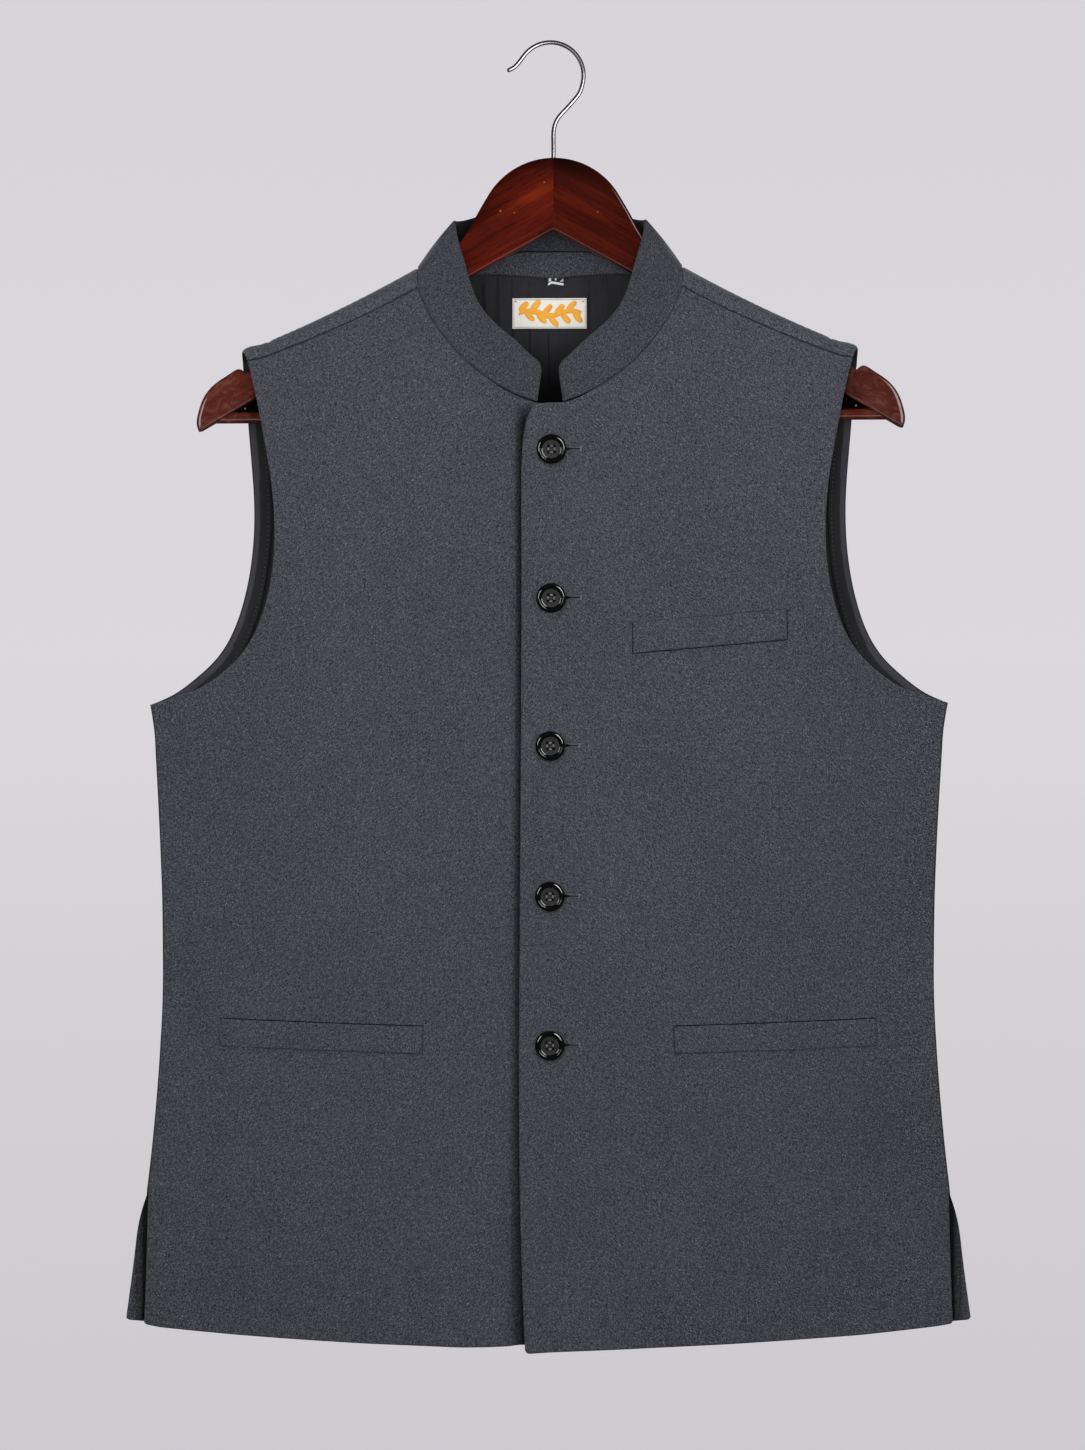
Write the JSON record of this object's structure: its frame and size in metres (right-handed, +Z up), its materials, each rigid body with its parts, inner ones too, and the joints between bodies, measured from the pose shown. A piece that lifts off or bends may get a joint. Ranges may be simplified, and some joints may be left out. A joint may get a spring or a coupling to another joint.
{
  "type": "nehru jacket on a hanger",
  "caption": "Sleeveless band-collar nehru jacket in charcoal wool, buttoned and hung on a wooden hanger with a trouser bar.",
  "frame": {"origin": "inside crown of the hanger's hook, where it hangs on a rail or peg", "axes": "+X to the wearer's left, +Y to the wearer's back, +Z up"},
  "size_m": [0.57, 0.0609, 0.8813],
  "materials": {
    "shell_cloth": "charcoal melange wool suiting, pressed",
    "lining": "near-black satin lining",
    "label": "woven cream label with a plain orange motif",
    "size_tab": "woven dark tab",
    "button": "black resin, polished rim and matt dished centre",
    "wood": "mahogany stain under gloss lacquer",
    "chrome": "polished chrome plate"
  },
  "bodies": {
    "root": {"hook": "chrome", "hanger_arm_left": "wood", "hanger_arm_right": "wood", "trouser_bar": "wood", "back": "shell_cloth", "front_left": "shell_cloth", "front_right": "shell_cloth", "collar": "shell_cloth", "back_neck_facing": "shell_cloth", "armhole_facing_left": "lining", "armhole_facing_right": "lining", "back_lining": "lining", "label_main": "label", "label_size": "size_tab", "welt_chest": "shell_cloth", "welt_hip_left": "shell_cloth", "welt_hip_right": "shell_cloth", "button_1": "button", "button_2": "button", "button_3": "button", "button_4": "button", "button_5": "button"}
  },
  "joints": []
}
